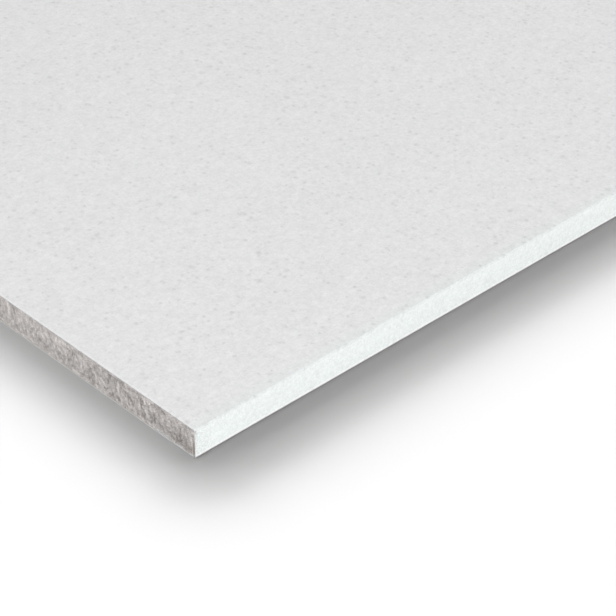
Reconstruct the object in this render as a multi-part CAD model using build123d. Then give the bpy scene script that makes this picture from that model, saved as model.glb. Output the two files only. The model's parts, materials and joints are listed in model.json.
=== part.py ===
from build123d import *
import os

# A square-edge drywall sheet that lies on its back. Millimetres, +Z out of the face.
# The origin is the middle of the back, X runs along the sheet and Y across it.

# The sheet as it is sold, papers included
SHEET_LENGTH = 2400.0
SHEET_WIDTH = 1200.0
SHEET_THICKNESS = 12.5

# The two papers
FACE_PAPER_THICKNESS = 0.35
BACK_PAPER_THICKNESS = 0.30

# The long edges, where the face paper is creased twice and folded under the back as a flap.
# The bare outer part of the flap lies level with the back paper. The inner part steps up,
# and the back paper laps over it.
CORE_ARRIS_RADIUS = 0.45
BARE_FLAP_WIDTH = 12.0
STEP_WIDTH = 1.0
LAP_WIDTH = 9.0

# What follows from them
PAPER_ARRIS_RADIUS = CORE_ARRIS_RADIUS + FACE_PAPER_THICKNESS
LAP_EDGE = SHEET_WIDTH / 2 - BARE_FLAP_WIDTH - STEP_WIDTH
FLAP_EDGE = LAP_EDGE - LAP_WIDTH


def wrapped_section():
    """The sheet's section with all its papers: a bar with four creased arrises."""
    bar = RectangleRounded(SHEET_WIDTH, SHEET_THICKNESS, PAPER_ARRIS_RADIUS)
    return Pos(0, SHEET_THICKNESS / 2) * bar


def inside_wrap_section():
    """The same bar inside the face paper, whose bends share their centres with the outer ones."""
    width = SHEET_WIDTH - 2 * FACE_PAPER_THICKNESS
    height = SHEET_THICKNESS - 2 * FACE_PAPER_THICKNESS
    return Pos(0, SHEET_THICKNESS / 2) * RectangleRounded(width, height, CORE_ARRIS_RADIUS)


def below_step_section(rise):
    """What is below the stepped flaps, and below the back too. A rise of one paper takes them in."""
    foot = LAP_EDGE + STEP_WIDTH
    below = -BACK_PAPER_THICKNESS
    right_side = [(foot, below), (foot, rise), (LAP_EDGE, rise + BACK_PAPER_THICKNESS)]
    left_side = [(-y, z) for y, z in reversed(right_side)]
    return make_face(Polyline(*right_side, *left_side, close=True))


def over_flaps_section():
    """The core's section down to the flaps, without what fills the gap between them."""
    return inside_wrap_section() - below_step_section(FACE_PAPER_THICKNESS)


def strip_section(width, bottom, height):
    """A plain rectangle of the sheet's section, centred across it."""
    return Pos(0, bottom + height / 2) * Rectangle(width, height)


def between_flaps_section():
    """The gap between the two folded flaps, over the back paper, which the core fills."""
    return strip_section(2 * FLAP_EDGE, BACK_PAPER_THICKNESS, FACE_PAPER_THICKNESS)


def along_sheet(section):
    """Run a section drawn across the sheet along its whole length."""
    return extrude(Plane.YZ * section, amount=SHEET_LENGTH / 2, both=True)


def make_gypsum_core():
    """The core, rebated along both edges of its back for the stepped flaps."""
    return along_sheet(over_flaps_section() + between_flaps_section())


def make_face_paper():
    """One paper over the face, down both long edges and under the back as two stepped flaps."""
    around_core = wrapped_section() - over_flaps_section() - between_flaps_section()
    return along_sheet(around_core - below_step_section(0))


def make_back_paper():
    """The paper on the back, which laps over the flaps and leaves their outer part bare."""
    return along_sheet(strip_section(2 * LAP_EDGE, 0, BACK_PAPER_THICKNESS))


os.makedirs("parts", exist_ok=True)
export_step(make_gypsum_core(), "parts/gypsum_core.step")
export_step(make_face_paper(), "parts/face_paper.step")
export_step(make_back_paper(), "parts/back_paper.step")
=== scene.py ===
"""A square-edge drywall sheet that lies face up on a pale floor, seen close at one corner."""
import json
import math

import bmesh
import bpy
from bpy.props import FloatProperty, FloatVectorProperty, IntProperty, PointerProperty
from mathutils import Matrix, Vector, noise

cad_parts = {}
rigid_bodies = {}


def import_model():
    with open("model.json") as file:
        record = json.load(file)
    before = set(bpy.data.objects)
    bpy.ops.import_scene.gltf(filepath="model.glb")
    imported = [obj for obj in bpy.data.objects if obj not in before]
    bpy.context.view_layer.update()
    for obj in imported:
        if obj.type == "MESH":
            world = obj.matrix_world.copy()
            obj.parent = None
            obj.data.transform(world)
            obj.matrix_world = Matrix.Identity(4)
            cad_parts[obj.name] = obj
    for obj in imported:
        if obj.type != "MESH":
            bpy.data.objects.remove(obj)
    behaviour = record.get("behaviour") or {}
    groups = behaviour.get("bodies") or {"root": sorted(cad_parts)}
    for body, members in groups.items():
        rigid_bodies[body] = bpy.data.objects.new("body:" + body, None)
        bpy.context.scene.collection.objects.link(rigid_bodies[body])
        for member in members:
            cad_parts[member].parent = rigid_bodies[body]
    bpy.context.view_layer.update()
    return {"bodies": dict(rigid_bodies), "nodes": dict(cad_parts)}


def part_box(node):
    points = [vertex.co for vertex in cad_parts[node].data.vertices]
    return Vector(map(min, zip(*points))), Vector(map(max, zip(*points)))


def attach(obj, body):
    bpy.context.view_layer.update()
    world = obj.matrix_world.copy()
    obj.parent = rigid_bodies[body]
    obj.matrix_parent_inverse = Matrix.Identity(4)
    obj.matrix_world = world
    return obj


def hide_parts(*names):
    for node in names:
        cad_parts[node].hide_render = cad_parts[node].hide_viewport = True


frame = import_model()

bl_info = {
    "name": "Drywall Sheet",
    "version": (1, 0, 0),
    "blender": (4, 5, 0),
    "location": "3D View > Sidebar > Drywall",
    "description": "Builds the papers and the gypsum core of a drywall sheet, and its studio",
    "category": "Add Mesh",
}

BODY = "root"
MM = 0.001

WHITE = (1, 1, 1)

# The soft lamps that shape the sheet's shadow on the floor: heading, height and
# spread in degrees, and the light that each gives the floor
FLOOR_SUNS = (
    (25, 19, 10, 0.133),
    (40, 19, 10, 0.181),
    (55, 19, 10, 0.309),
    (70, 19, 10, 0.203),
    (85, 19, 10, 0.165),
    (122, 19, 14, 0.147),
    (30, 42, 20, 0.232),
    (75, 42, 20, 0.206),
    (160, 25, 14, 0.169),
    (330, 28, 15, 0.098),
    (240, 20, 15, 0.082),
)
# Faint tints for two of them, by heading, against the colour that the edges throw on the floor
FLOOR_TINTS = {160: (0.94, 1.0, 0.96), 330: (1.14, 1.0, 1.01)}

# The sheet's own measures, read from the frame
FACE_LOW, FACE_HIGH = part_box("face_paper")
CORE_LOW, CORE_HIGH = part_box("gypsum_core")
BACK_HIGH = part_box("back_paper")[1]
HALF_LENGTH = FACE_HIGH.x
HALF_WIDTH = FACE_HIGH.y
SHEET_TOP = FACE_HIGH.z
FACE_PAPER = FACE_HIGH.z - CORE_HIGH.z
BACK_PAPER = BACK_HIGH.z
HAIR = 1e-6


def flat_half_width(node, height):
    """Half the width of a node's flat that lies at one height."""
    points = frame["nodes"][node].data.vertices
    return max(p.co.y for p in points if abs(p.co.z - height) < HAIR)


ARRIS_RADIUS = HALF_WIDTH - flat_half_width("face_paper", SHEET_TOP)
FLAP_END = flat_half_width("gypsum_core", CORE_LOW.z)
LAP_EDGE = BACK_HIGH.y
STEP_FOOT = min(abs(p.co.y) for p in frame["nodes"]["face_paper"].data.vertices if p.co.z < HAIR)
CORE_RADIUS = ARRIS_RADIUS - FACE_PAPER

# The papers' rings: distances between points, and distances from a cut end where the paper
# has a dense ring, each with its share of the fray
SIDE_PITCH = 0.8 * MM
SIDE_SUPPORT = 0.15 * MM
TOP_SUPPORT = 0.4 * MM
CUT_PITCH = 0.65 * MM
FACE_STATION_PITCH = 8 * MM
BACK_STATION_PITCH = 20 * MM
STATIONS_START = 5 * MM
CUT_STATIONS = ((0.0, 1.0), (0.12 * MM, 0.8), (0.5 * MM, 0.3), (2.0 * MM, 0.0))

# The sizes of the fray of a cut paper and of the waves along its edges, how far in from a
# long edge they reach, and where the waves die away towards a cut end
RAGGED_SIZE = 1.7 * MM
FINE_SIZE = 0.7 * MM
NICK_SIZE = 6 * MM
WRAP_FRAY = (1.2 * MM, 0.3 * MM)
WANDER_REACH = 4 * MM
LONG_WAVE = (55 * MM, 30 * MM)
SHORT_WAVE = (14 * MM, 9 * MM)
LAP_WAVE = 120 * MM
STRAIGHT_ENDS = (4 * MM, 30 * MM)

# The sizes of what breaks up the cut gypsum, and its reach from a paper or a long edge
WAVE_SIZE = 5.5 * MM
CRUMB_SIZE = 1.6 * MM
TEAR_WIDTH = 0.9 * MM
TEAR_HEIGHT = 1.5 * MM
LEAN_SIZE = 7 * MM
LUMP_SIZE = 2.1 * MM
LEDGE_SIZE = 4.5 * MM
LEAST_DEPTH = 0.06 * MM
HELD_REACH = 0.9 * MM
WORN_SIDE = (10 * MM, 100 * MM)
CORNER_SIDE = (4 * MM, 18 * MM)

# Angles over which two faces meet in a sharp line
SMOOTH_ALL_OVER = math.radians(180)
PAPER_CREASE = math.radians(40)

# The lamps that light the sheet alone: a far one with its spread in degrees, and panels that
# face a point of the floor, with their distance and size in metres. Heading and height are in
# degrees, and the last number is the share of white that the lamp gives a level face there.
NEAR_CORNER = Vector((-HALF_LENGTH, -HALF_WIDTH, 0))
MIDDLE = Vector((0, 0, 0))
SHEET_SUN = ("top_lamp", 50, 58, 25, 0.345)
SHEET_PANELS = (
    ("near_lamp", NEAR_CORNER, 235, 65, 1.6, 0.88, 0.326),
    ("middle_lamp", MIDDLE, 50, 80, 2.0, 1.2, 0.1),
    ("far_lamp", -NEAR_CORNER, 55, 65, 2.2, 1.2, 0.32),
    ("front_lamp", NEAR_CORNER, 244, 13, 14.0, 5.6, 0.177),
)

# The light from all round, and how bright the camera sees it
SOFT_LIGHT = 0.12
SEEN_WHITE = 1.0

# The floor: from its middle to its sides in metres, and its squares along a side
FLOOR_REACH = 15.0
FLOOR_SQUARES = 30

# The camera: its sensor in millimetres, and the photo's width and focal length in pixels
SENSOR_WIDTH = 36
PICTURE_WIDTH = 616
FOCAL_PIXELS = 2200


class FacePaperSettings(bpy.types.PropertyGroup):
    """The paper on the face and round the long edges."""

    colour: FloatVectorProperty(
        name="Colour", description="Colour of the paper on the face", subtype="COLOR",
        size=3, min=0, max=1, default=(0.768, 0.767, 0.771))
    edge_colour: FloatVectorProperty(
        name="Edge colour", description="Colour of the paper where it wraps the long edges",
        subtype="COLOR", size=3, min=0, max=1, default=(0.795, 0.837, 0.824))
    # Painted highlight: a pale band along the foot of the wrapped edge, just above the floor
    lip_highlight_colour: FloatVectorProperty(
        name="Lip colour", description="Colour of the edge where it is rubbed above the floor",
        subtype="COLOR", size=3, min=0, max=1, default=(0.955, 0.96, 0.955))
    beside_tint: FloatVectorProperty(
        name="Tint beside the edge", description="Tint of the face beside its creased edges",
        subtype="COLOR", size=3, min=0, max=2, default=(0.977, 1.008, 0.998))
    cut_colour: FloatVectorProperty(
        name="Cut colour", description="Colour of the raw fibres where the paper is cut",
        subtype="COLOR", size=3, min=0, max=1, default=(0.53, 0.533, 0.54))
    wrap_cut_colour: FloatVectorProperty(
        name="Wrap cut colour", description="Colour of the raw fibres where the wrap is cut",
        subtype="COLOR", size=3, min=0, max=1, default=(0.93, 0.94, 0.94))
    mottle: FloatProperty(
        name="Mottle", description="How much the paper's tone varies, as a share",
        subtype="FACTOR", min=0, max=1, default=0.2)
    speck_tone: FloatProperty(
        name="Speck tone", description="How much darker a speck is, as a share",
        subtype="FACTOR", min=0, max=1, default=0.15)
    # Painted shade on the upper crease, which cancels the highlight that the lamps give it
    crease_shade_tone: FloatProperty(
        name="Crease tone", description="How much darker the scuffed crease is, as a share",
        subtype="FACTOR", min=0, max=1, default=0.1)
    scuff_tone: FloatProperty(
        name="Scuff tone", description="How much darker the wrapped edge is rubbed at its cut ends",
        subtype="FACTOR", min=0, max=1, default=0.24)
    # Painted contact shadow along the lower crease where it meets the floor
    foot_shadow_tone: FloatProperty(
        name="Foot tone", description="How much darker the lower crease is at the floor",
        subtype="FACTOR", min=0, max=1, default=0.32)
    # Painted highlight: a pale line along the face at its cut ends
    rim_highlight_tone: FloatProperty(
        name="Rim tone", description="How much paler the face is along its cut ends, as a share",
        subtype="FACTOR", min=0, max=1, default=0.05)
    speck_spacing: FloatProperty(
        name="Speck spacing", description="Mean distance between two specks",
        unit="LENGTH", min=0.0005, max=0.05, default=3.0 * MM)
    speck_depth: FloatProperty(
        name="Speck depth", description="Depth of the small pits in the paper",
        unit="LENGTH", min=0, max=0.001, default=0.05 * MM)
    edge_wander: FloatProperty(
        name="Edge wander", description="How far the wrapped edge wanders from a straight line",
        unit="LENGTH", min=0, max=0.002, default=0.11 * MM)
    fray: FloatProperty(
        name="Fray", description="How deep the paper is frayed where it is cut",
        unit="LENGTH", min=0, max=0.002, default=0.16 * MM)
    arris_steps: IntProperty(
        name="Arris steps", description="Faces round each creased arris",
        min=2, max=16, default=7)


class BackPaperSettings(bpy.types.PropertyGroup):
    """The paper on the back."""

    colour: FloatVectorProperty(
        name="Colour", description="Colour of the unbleached paper on the back",
        subtype="COLOR", size=3, min=0, max=1, default=(0.62, 0.6, 0.56))
    cut_colour: FloatVectorProperty(
        name="Cut colour", description="Colour of the raw fibres where the paper is cut",
        subtype="COLOR", size=3, min=0, max=1, default=(0.845, 0.835, 0.835))
    mottle: FloatProperty(
        name="Mottle", description="How much the paper's tone varies, as a share",
        subtype="FACTOR", min=0, max=1, default=0.26)
    lap_wander: FloatProperty(
        name="Lap wander", description="How far the lapped edge wanders from a straight line",
        unit="LENGTH", min=0, max=0.005, default=0.5 * MM)
    fray: FloatProperty(
        name="Fray", description="How deep the paper is frayed where it is cut",
        unit="LENGTH", min=0, max=0.002, default=0.2 * MM)


class CoreSettings(bpy.types.PropertyGroup):
    """The gypsum core and its two cut ends."""

    colour: FloatVectorProperty(
        name="Colour", description="Colour of the cut gypsum", subtype="COLOR",
        size=3, min=0, max=1, default=(0.6, 0.566, 0.55))
    # Painted shade: the darker colour in deep pores and clefts
    pore_shade_colour: FloatVectorProperty(
        name="Pore colour", description="Colour inside the pores", subtype="COLOR",
        size=3, min=0, max=1, default=(0.45, 0.415, 0.39))
    fine_pitch: FloatProperty(
        name="Fine pitch", description="Width of a face of the cut near the viewed corner",
        unit="LENGTH", min=0.0002, max=0.01, default=0.38 * MM)
    coarse_pitch: FloatProperty(
        name="Coarse pitch", description="Width of a face of the cut elsewhere",
        unit="LENGTH", min=0.0002, max=0.01, default=0.8 * MM)
    fine_reach: FloatProperty(
        name="Fine reach", description="How far from the viewed corner the cut is finer",
        unit="LENGTH", min=0, max=1, default=140 * MM)
    rows: IntProperty(
        name="Rows", description="Faces over the height of the cut", min=4, max=40, default=24)
    roughness_depth: FloatProperty(
        name="Break depth", description="How deep the cut is broken up",
        unit="LENGTH", min=0, max=0.005, default=0.5 * MM)
    ledge_depth: FloatProperty(
        name="Ledge depth", description="How far the gypsum is torn back above the back paper",
        unit="LENGTH", min=0, max=0.005, default=0.35 * MM)
    wrap_gap: FloatProperty(
        name="Wrap gap", description="How far the gypsum is torn back beside the wrapped paper",
        unit="LENGTH", min=0, max=0.005, default=1.3 * MM)
    pore_spacing: FloatProperty(
        name="Pore spacing", description="Mean distance between two large pores",
        unit="LENGTH", min=0.0005, max=0.05, default=2.3 * MM)
    pore_depth: FloatProperty(
        name="Pore depth", description="Depth of a large pore",
        unit="LENGTH", min=0, max=0.005, default=0.4 * MM)


class StageSettings(bpy.types.PropertyGroup):
    """The floor, the lamps and the camera."""

    floor_colour: FloatVectorProperty(
        name="Floor colour", description="Colour of the floor, which its lamps light to white",
        subtype="COLOR", size=3, min=0, max=1, default=(0.4975, 0.497, 0.5))
    heading: FloatProperty(
        name="Heading", description="Plan direction of the view, from +X towards +Y",
        subtype="ANGLE", default=math.radians(46.471))
    pitch: FloatProperty(
        name="Pitch", description="How far the view looks down",
        subtype="ANGLE", default=math.radians(35.419))
    roll: FloatProperty(
        name="Roll", description="How far the camera is rolled",
        subtype="ANGLE", default=math.radians(0.284))
    distance: FloatProperty(
        name="Distance", description="From the camera to the point that it looks at",
        unit="LENGTH", min=0.05, max=20, default=813.9 * MM)
    aim_along: FloatProperty(
        name="Aim along", description="From the viewed corner to the aim, along the sheet",
        unit="LENGTH", default=78.35 * MM)
    aim_across: FloatProperty(
        name="Aim across", description="From the viewed corner to the aim, across the sheet",
        unit="LENGTH", default=26.24 * MM)
    lens: FloatProperty(
        name="Focal length", description="Focal length in millimetres on a 36 mm sensor",
        min=10, max=500, default=SENSOR_WIDTH * FOCAL_PIXELS / PICTURE_WIDTH)


# Small helpers for shapes

def smoothstep(low, high, value):
    """0 below low, 1 above high, smooth between them."""
    t = min(1.0, max(0.0, (value - low) / (high - low)))
    return t * t * (3 - 2 * t)


def spread(start, end, pitch):
    """Values from start to end, about a pitch apart."""
    count = max(1, round(abs(end - start) / pitch))
    return [start + (end - start) * i / count for i in range(count + 1)]


def wobble(x, y, seed):
    """Smooth noise from 0 to 1 at a place."""
    return 0.5 + 0.5 * max(-1.0, min(1.0, noise.noise(Vector((x, y, seed)))))


def new_piece(name, mesh_builder, node, material, crease_angle):
    """Make one piece from a bmesh, ride it on the sheet and let it stand for its CAD node."""
    mesh = bpy.data.meshes.new(name)
    mesh_builder.to_mesh(mesh)
    mesh_builder.free()
    mesh.materials.append(material)
    mesh.shade_smooth()
    mesh.set_sharp_from_angle(angle=crease_angle)
    piece = bpy.data.objects.new(name, mesh)
    bpy.context.scene.collection.objects.link(piece)
    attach(piece, BODY)
    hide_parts(node)
    return piece


# Papers: closed rings of runs, joined along the sheet

def arc_points(centre_y, centre_z, radius, start, end, steps):
    """Points and outward directions along an arc of the section."""
    points = []
    for i in range(steps + 1):
        angle = start + (end - start) * i / steps
        away_y, away_z = math.cos(angle), math.sin(angle)
        points.append((centre_y + radius * away_y, centre_z + radius * away_z, away_y, away_z))
    return points


def straight_points(start, end, away, values):
    """Points along a straight run, at the given shares of its length."""
    return [(start[0] + (end[0] - start[0]) * s, start[1] + (end[1] - start[1]) * s, *away)
            for s in values]


def shares(length, pitch):
    """Even shares of a run of that length."""
    return spread(0.0, 1.0, pitch / length)


def wrap_runs(pitch, settings):
    """The outside of the face paper's section, as runs from one flap to the other."""
    radius = ARRIS_RADIUS
    low, high = FACE_LOW.z, SHEET_TOP
    flat = HALF_WIDTH - radius
    upright = high - low - 2 * radius
    side_support = SIDE_SUPPORT / upright
    side_shares = [0.0, *spread(side_support, 1 - side_support, SIDE_PITCH / upright), 1.0]
    top_support = TOP_SUPPORT / (2 * flat)
    top_shares = [0.0, top_support, 1 - top_support, 1.0]
    lap_shares = step_shares = flap_shares = [0.0, 1.0]
    if pitch:
        top_shares = shares(2 * flat, pitch)
        lap_shares = shares(LAP_EDGE - FLAP_END, pitch)
        step_shares = shares(STEP_FOOT - LAP_EDGE, pitch)
        flap_shares = shares(flat - STEP_FOOT, pitch)
    quarter = math.pi / 2
    steps = settings.arris_steps
    return [
        straight_points((-FLAP_END, BACK_PAPER), (-LAP_EDGE, BACK_PAPER), (0, -1), lap_shares),
        straight_points((-LAP_EDGE, BACK_PAPER), (-STEP_FOOT, low), (0, -1), step_shares),
        straight_points((-STEP_FOOT, low), (-flat, low), (0, -1), flap_shares),
        arc_points(-flat, low + radius, radius, 3 * quarter, 2 * quarter, steps),
        straight_points((-HALF_WIDTH, low + radius), (-HALF_WIDTH, high - radius), (-1, 0),
                        side_shares),
        arc_points(-flat, high - radius, radius, 2 * quarter, quarter, steps),
        straight_points((-flat, high), (flat, high), (0, 1), top_shares),
        arc_points(flat, high - radius, radius, quarter, 0, steps),
        straight_points((HALF_WIDTH, high - radius), (HALF_WIDTH, low + radius), (1, 0),
                        side_shares),
        arc_points(flat, low + radius, radius, 0, -quarter, steps),
        straight_points((flat, low), (STEP_FOOT, low), (0, -1), flap_shares),
        straight_points((STEP_FOOT, low), (LAP_EDGE, BACK_PAPER), (0, -1), step_shares),
        straight_points((LAP_EDGE, BACK_PAPER), (FLAP_END, BACK_PAPER), (0, -1), lap_shares),
    ]


def slab_runs(pitch):
    """The underside of the back paper, as one run across the sheet."""
    values = shares(2 * LAP_EDGE, pitch) if pitch else [0.0, 1.0]
    return [straight_points((-LAP_EDGE, 0.0), (LAP_EDGE, 0.0), (0, -1), values)]


def place_run(builder, run, thickness, place, first=None):
    """Vertices of one run at a depth under its outside. The first may be shared."""
    verts = [] if first is None else [first]
    for y, z, away_y, away_z in run[len(verts):]:
        inner = place(y - away_y * thickness, z - away_z * thickness)
        verts.append(builder.verts.new(inner))
    return verts


def place_layer(builder, runs, thickness, place):
    """All the runs of one side of the paper at one station, which share their end points."""
    layer = []
    last = None
    for run in runs:
        verts = place_run(builder, run, thickness, place, last)
        last = verts[-1]
        layer.append(verts)
    return layer


def join_runs(builder, here, there, flip):
    """Faces between the same run at two stations: a strip of quads, or one polygon."""
    if len(here) == len(there):
        rows = [(here[i], here[i + 1], there[i + 1], there[i]) for i in range(len(here) - 1)]
    else:
        rows = [tuple(here) + tuple(reversed(there))]
    for row in rows:
        builder.faces.new(tuple(reversed(row)) if flip else row)


def loft_paper(stations, thickness):
    """A closed paper: stations are (runs, place) from one cut end to the other."""
    builder = bmesh.new()
    rings = []
    for runs, place in stations:
        outer = place_layer(builder, runs, 0.0, place)
        inner = place_layer(builder, runs, thickness, place)
        rings.append((outer, inner))
    for (outer_a, inner_a), (outer_b, inner_b) in zip(rings, rings[1:]):
        for here, there in zip(outer_a, outer_b):
            join_runs(builder, here, there, False)
        for here, there in zip(inner_a, inner_b):
            join_runs(builder, here, there, True)
        join_runs(builder, [inner_a[0][0], outer_a[0][0]], [inner_b[0][0], outer_b[0][0]], False)
        join_runs(builder, [outer_a[-1][-1], inner_a[-1][-1]],
                  [outer_b[-1][-1], inner_b[-1][-1]], False)
    for (outer, inner), flip in ((rings[0], True), (rings[-1], False)):
        for here, there in zip(outer, inner):
            join_runs(builder, here, there, flip)
    bmesh.ops.recalc_face_normals(builder, faces=builder.faces)
    return builder


def fray_at(y, z, end, depth):
    """How far the cut paper stands back at a place: ragged, most of all where it is wrapped."""
    ragged = wobble(y / RAGGED_SIZE, z / RAGGED_SIZE, 3.1 * end)
    fine = wobble(y / FINE_SIZE, z / FINE_SIZE, 7.7 * end)
    nick = smoothstep(0.72, 0.9, wobble(y / NICK_SIZE, z / NICK_SIZE, 11.3 * end))
    on_wrap = smoothstep(HALF_WIDTH - WRAP_FRAY[0], HALF_WIDTH - WRAP_FRAY[1], abs(y))
    return depth * (1 + 1.9 * on_wrap) * (0.35 * ragged + 0.35 * fine + 0.3 * nick)


def paper_stations(dense, sparse, middle_pitch, depth, bend):
    """Stations of a paper: dense runs at its cut ends, and sparse ones that bend moves sideways."""
    stations = []

    def end_place(end, distance, share):
        def place(y, z):
            x = HALF_LENGTH - distance - share * fray_at(y, z, end, depth)
            return (end * x, y, z)
        return place

    def middle_place(x):
        def place(y, z):
            return (x, *bend(x, y, z))
        return place

    for distance, share in CUT_STATIONS:
        stations.append((dense, end_place(-1, distance, share)))
    reach = HALF_LENGTH - STATIONS_START
    for x in spread(-reach, reach, middle_pitch):
        stations.append((sparse, middle_place(x)))
    for distance, share in reversed(CUT_STATIONS):
        stations.append((dense, end_place(1, distance, share)))
    return stations


def end_fade(x):
    """0 at the cut ends and 1 a little way in."""
    return smoothstep(*STRAIGHT_ENDS, HALF_LENGTH - abs(x))


def build_face_paper(settings):
    """The face paper: over the face, round both long edges and under the back as two flaps."""
    def bend(x, y, z):
        side = 1 if y > 0 else -1
        near_edge = smoothstep(HALF_WIDTH - WANDER_REACH, HALF_WIDTH - ARRIS_RADIUS, abs(y))
        if near_edge == 0:
            return y, z
        long_wave = wobble(x / LONG_WAVE[0], z / LONG_WAVE[1], 20 + side)
        short_wave = wobble(x / SHORT_WAVE[0], z / SHORT_WAVE[1], 40 + side)
        push = settings.edge_wander * (0.65 * long_wave + 0.35 * short_wave)
        return y - side * push * near_edge * end_fade(x), z

    dense, sparse = wrap_runs(CUT_PITCH, settings), wrap_runs(0, settings)
    stations = paper_stations(dense, sparse, FACE_STATION_PITCH, settings.fray, bend)
    return loft_paper(stations, FACE_PAPER)


def build_back_paper(settings):
    """The back paper: flat under the core, its two edges lapped over the flaps."""
    def bend(x, y, z):
        side = 1 if y > 0 else -1
        push = settings.lap_wander * wobble(x / LAP_WAVE, side * 9.0, 60)
        return y - side * push * end_fade(x), z

    dense, sparse = slab_runs(CUT_PITCH), slab_runs(0)
    stations = paper_stations(dense, sparse, BACK_STATION_PITCH, settings.fray, bend)
    return loft_paper(stations, BACK_PAPER)


# Gypsum core: a plain bar with two broken, porous cut ends

def core_limits(y):
    """The lowest and highest point of the core's section at a place across the sheet."""
    from_side = CORE_HIGH.y - abs(y)
    low = CORE_LOW.z
    if abs(y) > FLAP_END:
        fall = (abs(y) - LAP_EDGE) / (STEP_FOOT - LAP_EDGE)
        low += FACE_PAPER - BACK_PAPER * min(1.0, max(0.0, fall))
    high = CORE_HIGH.z
    if from_side < CORE_RADIUS:
        drop = CORE_RADIUS - math.sqrt(max(0.0, CORE_RADIUS ** 2 - (CORE_RADIUS - from_side) ** 2))
        low += drop
        high -= drop
    return low, high


def core_columns(settings):
    """Places across the sheet where the cut has a column: close together near the viewed corner."""
    edge = CORE_HIGH.y
    fine_end = -edge + settings.fine_reach
    round_arris = [CORE_RADIUS * (1 - math.cos(math.pi / 8 * i)) for i in range(4)]
    fine, coarse = settings.fine_pitch, settings.coarse_pitch
    columns = [-edge + inset for inset in round_arris]
    columns += spread(-edge + CORE_RADIUS, -STEP_FOOT, fine)
    columns += spread(-STEP_FOOT, -LAP_EDGE, fine)[1:]
    columns += spread(-LAP_EDGE, -FLAP_END - HAIR, fine)[1:]
    columns += spread(-FLAP_END + HAIR, fine_end, fine)
    columns += spread(fine_end, FLAP_END - HAIR, coarse)[1:]
    columns += spread(FLAP_END + HAIR, LAP_EDGE, coarse)
    columns += spread(LAP_EDGE, STEP_FOOT, coarse)[1:]
    columns += spread(STEP_FOOT, edge - CORE_RADIUS, coarse)[1:]
    columns += [edge - inset for inset in reversed(round_arris)]
    return columns


def pore_hollow(y, z, seed, spacing, fill):
    """0 between pores and up to 1 at the bottom of a round pore."""
    distances, points = noise.voronoi(Vector((y / spacing, z / spacing, seed)))
    nearest = points[0]
    size = fill * (0.35 + 0.65 * wobble(nearest.x * 3.7, nearest.y * 5.3, seed))
    return max(0.0, 1 - (distances[0] / size) ** 2) ** 0.5 if distances[0] < size else 0.0


def lumps(y, z, seed, size):
    """0 on the crown of a lump of gypsum and 1 in the clefts between lumps."""
    bend = 0.5 * size * noise.noise(Vector((y / size, z / size, seed + 3)))
    distances, _ = noise.voronoi(Vector(((y + bend) / size, (z - bend) / size, seed)))
    return min(1.0, 1.35 * distances[0])


def cut_relief(y, z, end, settings):
    """How far the broken gypsum stands back from the cut, and how much painted shade it gets there.
    """
    seed = 5.0 * end
    low, high = core_limits(y)
    from_paper = min(z - low, high - z)
    from_side = CORE_HIGH.y - abs(y)
    held = 0.3 + 0.7 * smoothstep(0.0, HELD_REACH, from_paper)

    # The break itself: waves, crumbs, leaning tears and the clefts between lumps
    waves = noise.fractal(Vector((y / WAVE_SIZE, z / WAVE_SIZE, seed)), 1.0, 2.0, 2)
    crumbs = noise.fractal(Vector((y / CRUMB_SIZE, z / CRUMB_SIZE, seed + 9)), 0.7, 2.1, 3)
    lean = y + 0.6 * z * noise.noise(Vector((y / LEAN_SIZE, 0.0, seed + 20)))
    tears = noise.noise(Vector((lean / TEAR_WIDTH, z / TEAR_HEIGHT, seed + 30)))
    clefts = lumps(y, z, seed + 40, LUMP_SIZE) - 0.5
    rough = 0.48 + 0.36 * waves + 0.44 * crumbs + 0.08 * tears + 0.36 * clefts
    rough = min(1.0, max(0.0, rough))

    # Its pores, and the wear towards the long edges, where the break is deeper
    large = pore_hollow(y, z, seed, settings.pore_spacing, 0.28)
    small = pore_hollow(y, z, seed + 50, settings.pore_spacing * 0.5, 0.36)
    worn = 1 - smoothstep(*WORN_SIDE, from_side)
    depth = settings.roughness_depth * rough * (0.8 + 0.35 * worn)
    depth += settings.pore_depth * (large + 0.5 * small)
    # Painted shade for the colour: more in clefts, pores and towards the long edges, less on crowns
    painted_shade = rough * (0.6 + 0.4 * held) + 0.4 * large + 0.3 * small + 0.2 * (worn - 0.5)

    # The ledge torn out above the back paper
    torn = smoothstep(0.25, 0.7, wobble(y / LEDGE_SIZE, 0.0, seed + 70))
    reach = (0.35 + 0.75 * wobble(y / CRUMB_SIZE, 0.0, seed + 80)) * MM
    ledge = settings.ledge_depth * torn * (1 - smoothstep(0.5 * reach, reach, z - low))

    # The gap torn out beside the wrapped paper, in the lower half of the cut, which also gets
    # painted shade
    gap_width = (0.9 + 2.4 * wobble(z / TEAR_HEIGHT, 0.0, seed + 90)) * MM
    at_wrap = 1 - smoothstep(0.3 * gap_width, gap_width, from_side)
    lower = 1 - smoothstep(0.35 * SHEET_TOP, 0.65 * SHEET_TOP, z)
    gap = at_wrap * lower
    # Painted shade in the lower cut close to a long edge
    corner = lower * (1 - smoothstep(*CORNER_SIDE, from_side))
    painted_shade = max(0.0, min(1.0, painted_shade + 0.35 * gap + 0.25 * corner))
    return LEAST_DEPTH + depth * held + max(ledge, settings.wrap_gap * gap), painted_shade


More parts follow.
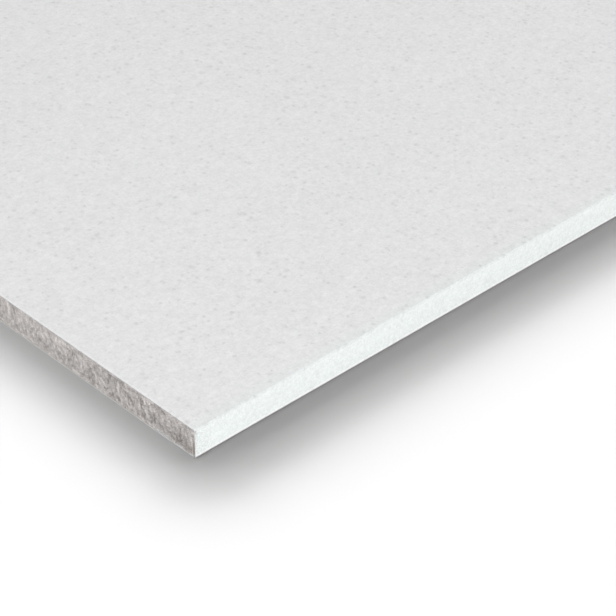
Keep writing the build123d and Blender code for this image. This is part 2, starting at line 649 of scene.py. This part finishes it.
def build_core(settings):
    """The gypsum core: two dense cut faces joined by its plain sides."""
    builder = bmesh.new()
    # Each point of the cut keeps its painted shade for the material
    painted_shade_layer = builder.verts.layers.float.new("painted_shade")
    columns = core_columns(settings)
    rows = settings.rows
    ends = {}
    for end in (-1, 1):
        grid = []
        for y in columns:
            low, high = core_limits(y)
            column = []
            for i in range(rows + 1):
                z = low + (high - low) * i / rows
                depth, painted_shade = cut_relief(y, z, end, settings)
                vert = builder.verts.new((end * (HALF_LENGTH - depth), y, z))
                vert[painted_shade_layer] = painted_shade
                column.append(vert)
            grid.append(column)
        ends[end] = grid
        for left, right in zip(grid, grid[1:]):
            for i in range(rows):
                builder.faces.new((left[i], right[i], right[i + 1], left[i + 1]))
    near, far = ends[-1], ends[1]
    for i in range(len(columns) - 1):
        for row in (0, rows):
            builder.faces.new((near[i][row], near[i + 1][row], far[i + 1][row], far[i][row]))
    for column in (0, -1):
        for i in range(rows):
            builder.faces.new((near[column][i], near[column][i + 1],
                               far[column][i + 1], far[column][i]))
    bmesh.ops.recalc_face_normals(builder, faces=builder.faces)
    return builder


# Materials. Their lengths are in millimetres, and a noise's offset only makes it unlike the others

# The colour sockets of a Mix node, which come after those for numbers and vectors
MIX_FIRST, MIX_SECOND, MIX_RESULT = 6, 7, 2

# How ragged the rim of a pit or fleck is
RAGGED_RIM = 0.9
RAGGED_SCALE = 1.4

# The face paper, measured in from a long edge or a cut end, or up from the floor
BESIDE_REACH = 6.0
CREASE_START = 0.4
WRAP_CUT = (0.5, 0.3)
# Heights of the painted highlight at the foot of the wrapped edge
LIP_HIGHLIGHT_HEIGHTS = (1.1, 2.0)
# Heights of the painted contact shadow at the foot
FOOT_SHADOW_HEIGHTS = (0.5, 1.3)
WORN_REACH = 14.0
SCUFF_REACH = 1.6
# Reach of the painted highlight along a cut end
RIM_HIGHLIGHT_REACH = (1.3, 0.7)

# Tones of the wrapped edge: painted light at its foot and painted shade rising to its top, against
# the uneven light that the shadowed floor throws on it, and where it is worn
FOOT_PAINTED_LIGHT = 0.038
HEIGHT_PAINTED_SHADE = -0.08
WORN_TONE = -0.05

# Its grain: size, share of the mottle and offset
PAPER_GRAINS = ((0.8, 0.9, 1.0), (1.7, 0.95, 4.0), (5.0, 0.4, 7.0), (80.0, 0.15, 11.0))
EDGE_GRAIN_SIZE = 0.5
EDGE_GRAIN = 0.16
WORN_GRAIN = 0.36

# Its pits: spacing, chance, largest reach in cells and offset. The edge has this much less of them
PAPER_PITS = ((1.0, 0.8, 0.5, 2.0), (2.1, 0.5, 0.33, 9.0))
SMALLEST_PIT = 0.04
EDGE_PIT_LOSS = -0.7

# The back paper: size and stretch of its fibres, and its flecks' spacing, offset and tone
FIBRE_SIZE = 1.3
FIBRE_STRETCH = ((2.6, 0.8, 1.0), (0.8, 2.6, 1.0))
CLOUD_SIZE = 60.0
CLOUD_TONE = 0.08
BACK_FLECKS = ((4.0, 3.0, -0.3), (5.5, 8.0, 0.22))
FLECK_REACH = (0.03, 0.2)

# The gypsum: share of the tone that each noise makes, painted highlight on a crown and painted
# shade in a cleft, and the heights and tones of the pale strip above the back paper, partly denser
# gypsum and partly painted light
MOTTLE_SHARE = 0.76
TEAR_SHARE = 0.18
CRUMB_SHARE = 0.6
GRIT_SHARE = 0.95
PAINTED_SHADE_TONES = (1.16, 0.87)
STRIP_HEIGHTS = (0.9, 2.1)
STRIP_TONES = (1.27, 1.0)

# Relief of the materials' own bumps, in metres
PAPER_RELIEF = 0.03 * MM
GYPSUM_RELIEF = 0.16 * MM


class Recipe:
    """A material's nodes, added one by one."""

    def __init__(self, name):
        self.material = bpy.data.materials.new(name)
        self.material.use_nodes = True
        self.tree = self.material.node_tree
        self.tree.nodes.clear()
        output = self.tree.nodes.new("ShaderNodeOutputMaterial")
        self.shader = self.tree.nodes.new("ShaderNodeBsdfPrincipled")
        self.link(self.shader.outputs["BSDF"], output.inputs["Surface"])
        self.coordinates = self.tree.nodes.new("ShaderNodeTexCoord")
        self.place = self.vector("SCALE", self.coordinates.outputs["Object"], scale=1 / MM)

    def link(self, source, target):
        """Feed a socket from another socket, a number or a colour."""
        if isinstance(source, bpy.types.NodeSocket):
            self.tree.links.new(source, target)
        elif hasattr(source, "__len__") and len(target.default_value) == len(source) + 1:
            target.default_value = (*source, 1.0)
        else:
            target.default_value = source

    def vector(self, operation, first, second=None, scale=None):
        """A vector sum, product or scaling."""
        node = self.tree.nodes.new("ShaderNodeVectorMath")
        node.operation = operation
        self.link(first, node.inputs[0])
        if second is not None:
            self.link(second, node.inputs[1])
        if scale is not None:
            self.link(scale, node.inputs["Scale"])
        return node.outputs["Vector"]

    def split(self, vector):
        """The three parts of a vector."""
        node = self.tree.nodes.new("ShaderNodeSeparateXYZ")
        self.link(vector, node.inputs["Vector"])
        return node.outputs

    def sums(self, operation, first, second=0.0, third=0.0):
        """A sum of numbers, named by its operation."""
        node = self.tree.nodes.new("ShaderNodeMath")
        node.operation = operation
        for value, socket in zip((first, second, third), node.inputs):
            self.link(value, socket)
        return node.outputs["Value"]

    def ramp(self, value, low, high, to_low=0.0, to_high=1.0):
        """Map low..high smoothly to to_low..to_high, held at both ends."""
        node = self.tree.nodes.new("ShaderNodeMapRange")
        node.interpolation_type = "SMOOTHSTEP"
        for socket, number in zip(node.inputs, (value, low, high, to_low, to_high)):
            self.link(number, socket)
        return node.outputs["Result"]

    def noise(self, size_mm, detail=2.0, roughness=0.5, stretch=(1, 1, 1), offset=0.0):
        """Noise from 0 to 1 whose largest features are about that size in millimetres."""
        node = self.tree.nodes.new("ShaderNodeTexNoise")
        factors = tuple(1 / (size_mm * s) for s in stretch)
        scaled = self.vector("MULTIPLY", self.place, factors)
        moved = self.vector("ADD", scaled, (offset, offset * 1.7, offset * 0.3))
        self.link(moved, node.inputs["Vector"])
        self.link(1.0, node.inputs["Scale"])
        self.link(detail, node.inputs["Detail"])
        self.link(roughness, node.inputs["Roughness"])
        return node.outputs["Fac"]

    def cells(self, size_mm, offset):
        """Distance to the nearest of scattered points, in cells, and that point's own number."""
        node = self.tree.nodes.new("ShaderNodeTexVoronoi")
        shift = self.tree.nodes.new("ShaderNodeTexNoise")
        self.link(self.place, shift.inputs["Vector"])
        self.link(RAGGED_SCALE, shift.inputs["Scale"])
        push = self.vector("SCALE", shift.outputs["Color"], scale=2 * RAGGED_RIM)
        place = self.vector("ADD", self.place, push)
        scaled = self.vector("SCALE", place, scale=1 / size_mm)
        moved = self.vector("ADD", scaled, (offset, offset * 1.3, offset * 0.7))
        self.link(moved, node.inputs["Vector"])
        self.link(1.0, node.inputs["Scale"])
        split = self.tree.nodes.new("ShaderNodeSeparateColor")
        self.link(node.outputs["Color"], split.inputs["Color"])
        return node.outputs["Distance"], split.outputs["Red"]

    def mix(self, share, first, second, blend="MIX"):
        """Mix two colours."""
        node = self.tree.nodes.new("ShaderNodeMix")
        node.data_type = "RGBA"
        node.blend_type = blend
        self.link(share, node.inputs["Factor"])
        self.link(first, node.inputs[MIX_FIRST])
        self.link(second, node.inputs[MIX_SECOND])
        return node.outputs[MIX_RESULT]

    def tone(self, colour, factor):
        """A colour made lighter or darker by a factor."""
        return self.vector("SCALE", colour, scale=factor)

    def cut_share(self):
        """1 on surfaces that face along the sheet, where a paper is cut, and 0 elsewhere."""
        normal = self.split(self.coordinates.outputs["Normal"])
        return self.ramp(self.sums("ABSOLUTE", normal["X"]), 0.5, 0.8)

    def bump(self, height_m):
        """Relief of a real height in metres, fed to the shader."""
        node = self.tree.nodes.new("ShaderNodeBump")
        self.link(1.0, node.inputs["Strength"])
        self.link(1.0, node.inputs["Distance"])
        self.link(height_m, node.inputs["Height"])
        self.link(node.outputs["Normal"], self.shader.inputs["Normal"])


def paper_material(name, settings):
    """Matt paper on the face: faint mottle, fine fibres and scattered pits, with painted light and
    shade at its creases, its foot and its cut ends.
    """
    recipe = Recipe(name)
    place = recipe.split(recipe.place)
    across = recipe.sums("ABSOLUTE", place["Y"])
    height = place["Z"]
    side, top, end, radius = HALF_WIDTH / MM, SHEET_TOP / MM, HALF_LENGTH / MM, ARRIS_RADIUS / MM
    flat = side - radius
    on_edge = recipe.ramp(across, side - 0.32 * radius, side)

    # Colours: the face, its tint beside the edge, the edge, a painted highlight along its foot and
    # the raw cut
    beside = recipe.ramp(across, side - BESIDE_REACH, flat)
    base = recipe.mix(beside, settings.colour, settings.beside_tint, "MULTIPLY")
    base = recipe.mix(on_edge, base, settings.edge_colour)
    # Painted highlight along the foot of the wrapped edge
    lip_highlight = recipe.sums("MULTIPLY", on_edge, recipe.ramp(height, *LIP_HIGHLIGHT_HEIGHTS, 1.0, 0.0))
    base = recipe.mix(lip_highlight, base, settings.lip_highlight_colour)
    on_wrap = recipe.ramp(across, side - WRAP_CUT[0], side - WRAP_CUT[1])
    raw = recipe.mix(on_wrap, settings.cut_colour, settings.wrap_cut_colour)
    base = recipe.mix(recipe.cut_share(), base, raw)

    # Tones across the sheet: painted shade on the upper crease against its highlight, painted light
    # and shade up the height of the edge, and a painted contact shadow on the lower crease at the
    # floor
    # Painted shade on the upper crease
    crease_shade = recipe.sums("MULTIPLY", recipe.ramp(across, flat - CREASE_START, side - 0.4 * radius),
                         recipe.ramp(height, top - 1.5 * radius, top - 0.4 * radius))
    tone = recipe.sums("MULTIPLY_ADD", crease_shade, -settings.crease_shade_tone, 1.0)
    # Painted light at the foot of the wrapped edge and painted shade towards its top
    high_up = recipe.ramp(height, 0.0, top)
    edge_light_and_shade = recipe.sums("MULTIPLY_ADD", high_up, HEIGHT_PAINTED_SHADE, FOOT_PAINTED_LIGHT)
    tone = recipe.sums("MULTIPLY_ADD", on_edge, edge_light_and_shade, tone)
    # Painted contact shadow where the lower crease meets the floor
    foot_shadow = recipe.sums("MULTIPLY", recipe.ramp(across, side - 1.3 * radius, side - 0.6 * radius),
                       recipe.ramp(height, *FOOT_SHADOW_HEIGHTS, 1.0, 0.0))
    tone = recipe.sums("MULTIPLY_ADD", foot_shadow, -settings.foot_shadow_tone, tone)

    # Tones at the cut ends: the worn and scuffed edge and a painted highlight along the rim of the
    # face
    along = recipe.sums("ABSOLUTE", place["X"])
    worn = recipe.sums("MULTIPLY", on_edge, recipe.ramp(along, end - WORN_REACH, end))
    tone = recipe.sums("MULTIPLY_ADD", worn, WORN_TONE, tone)
    at_end = recipe.ramp(along, end - SCUFF_REACH, end)
    scuff = recipe.sums("MULTIPLY", recipe.sums("MULTIPLY", at_end, on_edge), high_up)
    tone = recipe.sums("MULTIPLY_ADD", scuff, -settings.scuff_tone, tone)
    # Painted highlight along the face's rim at the cut ends
    rim_highlight = recipe.sums("MULTIPLY", recipe.ramp(along, end - RIM_HIGHLIGHT_REACH[0], end - RIM_HIGHLIGHT_REACH[1]),
                      recipe.ramp(across, flat - CREASE_START, flat, 1.0, 0.0))
    tone = recipe.sums("MULTIPLY_ADD", rim_highlight, settings.rim_highlight_tone, tone)

    for size, share, offset in PAPER_GRAINS:
        grain = recipe.noise(size, detail=1.0, offset=offset)
        level = share * settings.mottle
        tone = recipe.sums("MULTIPLY_ADD", grain, level, recipe.sums("ADD", tone, -0.5 * level))

    fine = recipe.noise(EDGE_GRAIN_SIZE, detail=0.0, offset=13.0)
    amount = recipe.sums("MULTIPLY_ADD", worn, WORN_GRAIN,
                         recipe.sums("MULTIPLY", on_edge, EDGE_GRAIN))
    tone = recipe.sums("MULTIPLY_ADD", recipe.sums("SUBTRACT", fine, 0.5), amount, tone)

    pits = 0.0
    for spacing, chance, largest, offset in PAPER_PITS:
        distance, number = recipe.cells(settings.speck_spacing / MM * spacing, offset)
        reach = recipe.ramp(number, 1 - chance, 1.0, SMALLEST_PIT, largest)
        pit = recipe.ramp(distance, 0.0, reach, 1.0, 0.0)
        pits = recipe.sums("MAXIMUM", pits, pit)
    pits = recipe.sums("MULTIPLY", pits, recipe.sums("MULTIPLY_ADD", on_edge, EDGE_PIT_LOSS, 1.0))
    tone = recipe.sums("MULTIPLY_ADD", pits, -settings.speck_tone, tone)
    recipe.link(recipe.tone(base, tone), recipe.shader.inputs["Base Color"])

    fibres = recipe.noise(1.2, detail=4.0, roughness=0.6, offset=3.0)
    relief = recipe.sums("MULTIPLY", fibres, PAPER_RELIEF)
    recipe.bump(recipe.sums("MULTIPLY_ADD", pits, -settings.speck_depth, relief))
    rough = recipe.sums("MULTIPLY_ADD", fibres, 0.12, 0.8)
    recipe.link(rough, recipe.shader.inputs["Roughness"])
    recipe.link(0.25, recipe.shader.inputs["Specular IOR Level"])
    return recipe.material


def back_material(name, settings):
    """Unbleached recycled paper: grey, flecked with light and dark fibres."""
    recipe = Recipe(name)
    lengthways, crossways = FIBRE_STRETCH
    fibres = recipe.noise(FIBRE_SIZE, detail=3.0, roughness=0.6, stretch=lengthways)
    cross = recipe.noise(FIBRE_SIZE, detail=3.0, roughness=0.6, stretch=crossways, offset=5.0)
    cloud = recipe.noise(CLOUD_SIZE, detail=3.0, offset=8.0)
    tone = recipe.sums("MULTIPLY_ADD", fibres, settings.mottle, 1 - settings.mottle)
    tone = recipe.sums("MULTIPLY_ADD", cross, settings.mottle, tone)
    tone = recipe.sums("MULTIPLY_ADD", cloud, CLOUD_TONE,
                       recipe.sums("SUBTRACT", tone, 0.5 * CLOUD_TONE))
    for spacing, offset, fleck_tone in BACK_FLECKS:
        distance, number = recipe.cells(spacing, offset)
        reach = recipe.ramp(number, 0.4, 1.0, *FLECK_REACH)
        fleck = recipe.ramp(distance, 0.0, reach, 1.0, 0.0)
        tone = recipe.sums("MULTIPLY_ADD", fleck, fleck_tone, tone)
    base = recipe.mix(recipe.cut_share(), settings.colour, settings.cut_colour)
    recipe.link(recipe.tone(base, tone), recipe.shader.inputs["Base Color"])
    relief = recipe.sums("MULTIPLY", recipe.sums("ADD", fibres, cross), PAPER_RELIEF)
    recipe.bump(relief)
    recipe.link(recipe.sums("MULTIPLY_ADD", fibres, 0.15, 0.8), recipe.shader.inputs["Roughness"])
    recipe.link(0.2, recipe.shader.inputs["Specular IOR Level"])
    return recipe.material


def gypsum_material(name, settings):
    """Cut foamed gypsum: warm grey, mottled and torn, with painted shade in its pores and clefts
    and painted highlight on its crowns.
    """
    recipe = Recipe(name)
    # The painted shade kept on each point of the cut
    attribute = recipe.tree.nodes.new("ShaderNodeAttribute")
    attribute.attribute_name = "painted_shade"
    painted_shade = attribute.outputs["Fac"]
    mottle = recipe.noise(6.0, detail=4.0, roughness=0.7)
    tears = recipe.noise(0.8, detail=1.0, roughness=0.6, stretch=(1.0, 1.0, 1.3), offset=3.0)
    crumbs = recipe.noise(0.6, detail=2.0, roughness=0.7, offset=6.0)
    grit = recipe.noise(0.43, detail=0.0, offset=9.0)
    # Painted highlight on crowns and painted shade in clefts and pores
    tone = recipe.ramp(painted_shade, 0.15, 0.8, *PAINTED_SHADE_TONES)
    parts = ((mottle, MOTTLE_SHARE), (tears, TEAR_SHARE), (crumbs, CRUMB_SHARE), (grit, GRIT_SHARE))
    for part, share in parts:
        tone = recipe.sums("MULTIPLY_ADD", part, share, recipe.sums("ADD", tone, -0.5 * share))
    # Pale strip above the back paper: partly denser gypsum, partly painted light that lifts the
    # shade at the foot of the cut
    strip = recipe.ramp(recipe.split(recipe.place)["Z"], *STRIP_HEIGHTS, *STRIP_TONES)
    tone = recipe.sums("MULTIPLY", tone, strip)
    # Painted shade: the pore colour where the cut is deepest in shade
    base = recipe.mix(recipe.ramp(painted_shade, 0.7, 1.1), settings.colour, settings.pore_shade_colour)
    recipe.link(recipe.tone(base, tone), recipe.shader.inputs["Base Color"])
    relief = recipe.sums("MULTIPLY", recipe.sums("ADD", crumbs, tears), GYPSUM_RELIEF)
    recipe.bump(relief)
    recipe.link(recipe.sums("MULTIPLY_ADD", crumbs, 0.1, 0.88), recipe.shader.inputs["Roughness"])
    recipe.link(0.1, recipe.shader.inputs["Specular IOR Level"])
    return recipe.material


def floor_material(name, settings):
    """A plain matt floor."""
    recipe = Recipe(name)
    recipe.link(settings.floor_colour, recipe.shader.inputs["Base Color"])
    recipe.link(1.0, recipe.shader.inputs["Roughness"])
    recipe.link(0.0, recipe.shader.inputs["Specular IOR Level"])
    return recipe.material


# The studio

def aim_point(settings):
    """The point of the face that the camera looks at."""
    return Vector((-HALF_LENGTH + settings.aim_along, -HALF_WIDTH + settings.aim_across, SHEET_TOP))


def direction(heading, elevation):
    """A unit direction from its plan angle and its height angle."""
    level = math.cos(elevation)
    return Vector((level * math.cos(heading), level * math.sin(heading), math.sin(elevation)))


def add_camera(settings):
    """The camera, at the viewing angle of the photograph."""
    forward = direction(settings.heading, -settings.pitch)
    side = forward.cross(Vector((0, 0, 1))).normalized()
    up = side.cross(forward)
    turn = Matrix.Rotation(-settings.roll, 3, forward)
    side, up = turn @ side, turn @ up
    data = bpy.data.cameras.new("camera")
    data.sensor_width = SENSOR_WIDTH
    data.lens = settings.lens
    data.clip_start = 0.01
    data.clip_end = 100
    camera = bpy.data.objects.new("camera", data)
    rotation = Matrix((side, up, -forward)).transposed().to_4x4()
    place = aim_point(settings) - forward * settings.distance
    camera.matrix_world = Matrix.Translation(place) @ rotation
    bpy.context.scene.collection.objects.link(camera)
    bpy.context.scene.camera = camera


def add_lamp(name, kind, heading, height, share, receivers):
    """A lamp that gives a level surface that share of white, seen at a heading and a height."""
    data = bpy.data.lights.new(name, kind)
    towards = direction(math.radians(heading), math.radians(height))
    lamp = bpy.data.objects.new(name, data)
    lamp.rotation_euler = towards.to_track_quat("Z", "Y").to_euler()
    bpy.context.scene.collection.objects.link(lamp)
    lamp.light_linking.receiver_collection = receivers
    data.energy = math.pi * share / towards.z
    return lamp


def add_sun(name, heading, height, spread, share, receivers, tint=WHITE):
    """A soft lamp far away, which lights the whole floor alike."""
    sun = add_lamp(name, "SUN", heading, height, share, receivers)
    sun.data.angle = 2 * math.radians(spread)
    sun.data.color = tint


def add_panel(name, target, heading, height, distance, size, share, receivers):
    """A soft panel that faces a point of the floor."""
    panel = add_lamp(name, "AREA", heading, height, share, receivers)
    panel.data.size = size
    panel.data.energy *= math.pi * distance ** 2
    towards = direction(math.radians(heading), math.radians(height))
    panel.location = target + towards * distance


def new_group(name, objects):
    """A collection outside the scene that names what a lamp lights."""
    group = bpy.data.collections.new(name)
    for one in objects:
        group.objects.link(one)
    return group


def add_floor(settings):
    """The pale floor under the sheet."""
    builder = bmesh.new()
    bmesh.ops.create_grid(builder, x_segments=FLOOR_SQUARES, y_segments=FLOOR_SQUARES,
                          size=FLOOR_REACH)
    mesh = bpy.data.meshes.new("studio_floor")
    builder.to_mesh(mesh)
    builder.free()
    mesh.materials.append(floor_material("studio_floor", settings))
    floor = bpy.data.objects.new("studio_floor", mesh)
    bpy.context.scene.collection.objects.link(floor)
    return floor


def add_world():
    """Soft white light from all round, which the camera sees as white."""
    world = bpy.data.worlds.new("studio")
    world.use_nodes = True
    tree = world.node_tree
    tree.nodes.clear()
    output = tree.nodes.new("ShaderNodeOutputWorld")
    background = tree.nodes.new("ShaderNodeBackground")
    path = tree.nodes.new("ShaderNodeLightPath")
    strength = tree.nodes.new("ShaderNodeMapRange")
    background.inputs["Color"].default_value = (*WHITE, 1)
    strength.inputs["To Min"].default_value = SOFT_LIGHT
    strength.inputs["To Max"].default_value = SEEN_WHITE
    tree.links.new(path.outputs["Is Camera Ray"], strength.inputs["Value"])
    tree.links.new(strength.outputs["Result"], background.inputs["Strength"])
    tree.links.new(background.outputs["Background"], output.inputs["Surface"])
    bpy.context.scene.world = world


class DRYWALL_OT_core(bpy.types.Operator):
    """Build the gypsum core with its two cut ends"""

    bl_idname = "drywall.core"
    bl_label = "Gypsum Core"

    def execute(self, context):
        settings = context.scene.drywall_core
        material = gypsum_material("gypsum", settings)
        new_piece("gypsum_core_cut", build_core(settings), "gypsum_core",
                  material, SMOOTH_ALL_OVER)
        return {"FINISHED"}


class DRYWALL_OT_face_paper(bpy.types.Operator):
    """Build the face paper, wrapped round the long edges"""

    bl_idname = "drywall.face_paper"
    bl_label = "Face Paper"

    def execute(self, context):
        settings = context.scene.drywall_face
        material = paper_material("face_paper", settings)
        new_piece("face_paper_wrap", build_face_paper(settings), "face_paper",
                  material, PAPER_CREASE)
        return {"FINISHED"}


class DRYWALL_OT_back_paper(bpy.types.Operator):
    """Build the back paper, lapped over the flaps"""

    bl_idname = "drywall.back_paper"
    bl_label = "Back Paper"

    def execute(self, context):
        settings = context.scene.drywall_back
        material = back_material("back_paper", settings)
        new_piece("back_paper_lap", build_back_paper(settings), "back_paper",
                  material, PAPER_CREASE)
        return {"FINISHED"}


class DRYWALL_OT_stage(bpy.types.Operator):
    """Add the floor, the lamps and the camera"""

    bl_idname = "drywall.stage"
    bl_label = "Stage"

    def execute(self, context):
        settings = context.scene.drywall_stage
        floor = add_floor(settings)
        floor_only = new_group("lit_floor", [floor])
        sheet_only = new_group("lit_sheet", list(frame["bodies"][BODY].children))
        for number, sun in enumerate(FLOOR_SUNS, 1):
            add_sun(f"floor_lamp_{number}", *sun, floor_only, FLOOR_TINTS.get(sun[0], WHITE))
        add_sun(*SHEET_SUN, sheet_only)
        for panel in SHEET_PANELS:
            add_panel(*panel, sheet_only)
        add_world()
        add_camera(settings)
        context.scene.view_settings.view_transform = "Standard"
        return {"FINISHED"}


class DRYWALL_PT_sheet(bpy.types.Panel):
    """The sheet's pieces and their settings"""

    bl_label = "Drywall Sheet"
    bl_idname = "DRYWALL_PT_sheet"
    bl_space_type = "VIEW_3D"
    bl_region_type = "UI"
    bl_category = "Drywall"

    def draw(self, context):
        for operator, group in BUILD_ORDER:
            box = self.layout.box()
            box.operator(operator)
            settings = getattr(context.scene, group)
            for name in settings.__annotations__:
                box.prop(settings, name)


BUILD_ORDER = (
    ("drywall.core", "drywall_core"),
    ("drywall.face_paper", "drywall_face"),
    ("drywall.back_paper", "drywall_back"),
    ("drywall.stage", "drywall_stage"),
)

SETTINGS = {
    "drywall_core": CoreSettings,
    "drywall_face": FacePaperSettings,
    "drywall_back": BackPaperSettings,
    "drywall_stage": StageSettings,
}

CLASSES = (
    *SETTINGS.values(),
    DRYWALL_OT_core,
    DRYWALL_OT_face_paper,
    DRYWALL_OT_back_paper,
    DRYWALL_OT_stage,
    DRYWALL_PT_sheet,
)


def register():
    """Register the classes and hang the settings on the scene."""
    for one in CLASSES:
        bpy.utils.register_class(one)
    for name, group in SETTINGS.items():
        setattr(bpy.types.Scene, name, PointerProperty(type=group))


def unregister():
    """Take the settings and the classes away again."""
    for name in SETTINGS:
        delattr(bpy.types.Scene, name)
    for one in reversed(CLASSES):
        bpy.utils.unregister_class(one)


def main():
    """Build every piece."""
    register()
    bpy.ops.drywall.core()
    bpy.ops.drywall.face_paper()
    bpy.ops.drywall.back_paper()
    bpy.ops.drywall.stage()


if __name__ == "__main__":
    main()
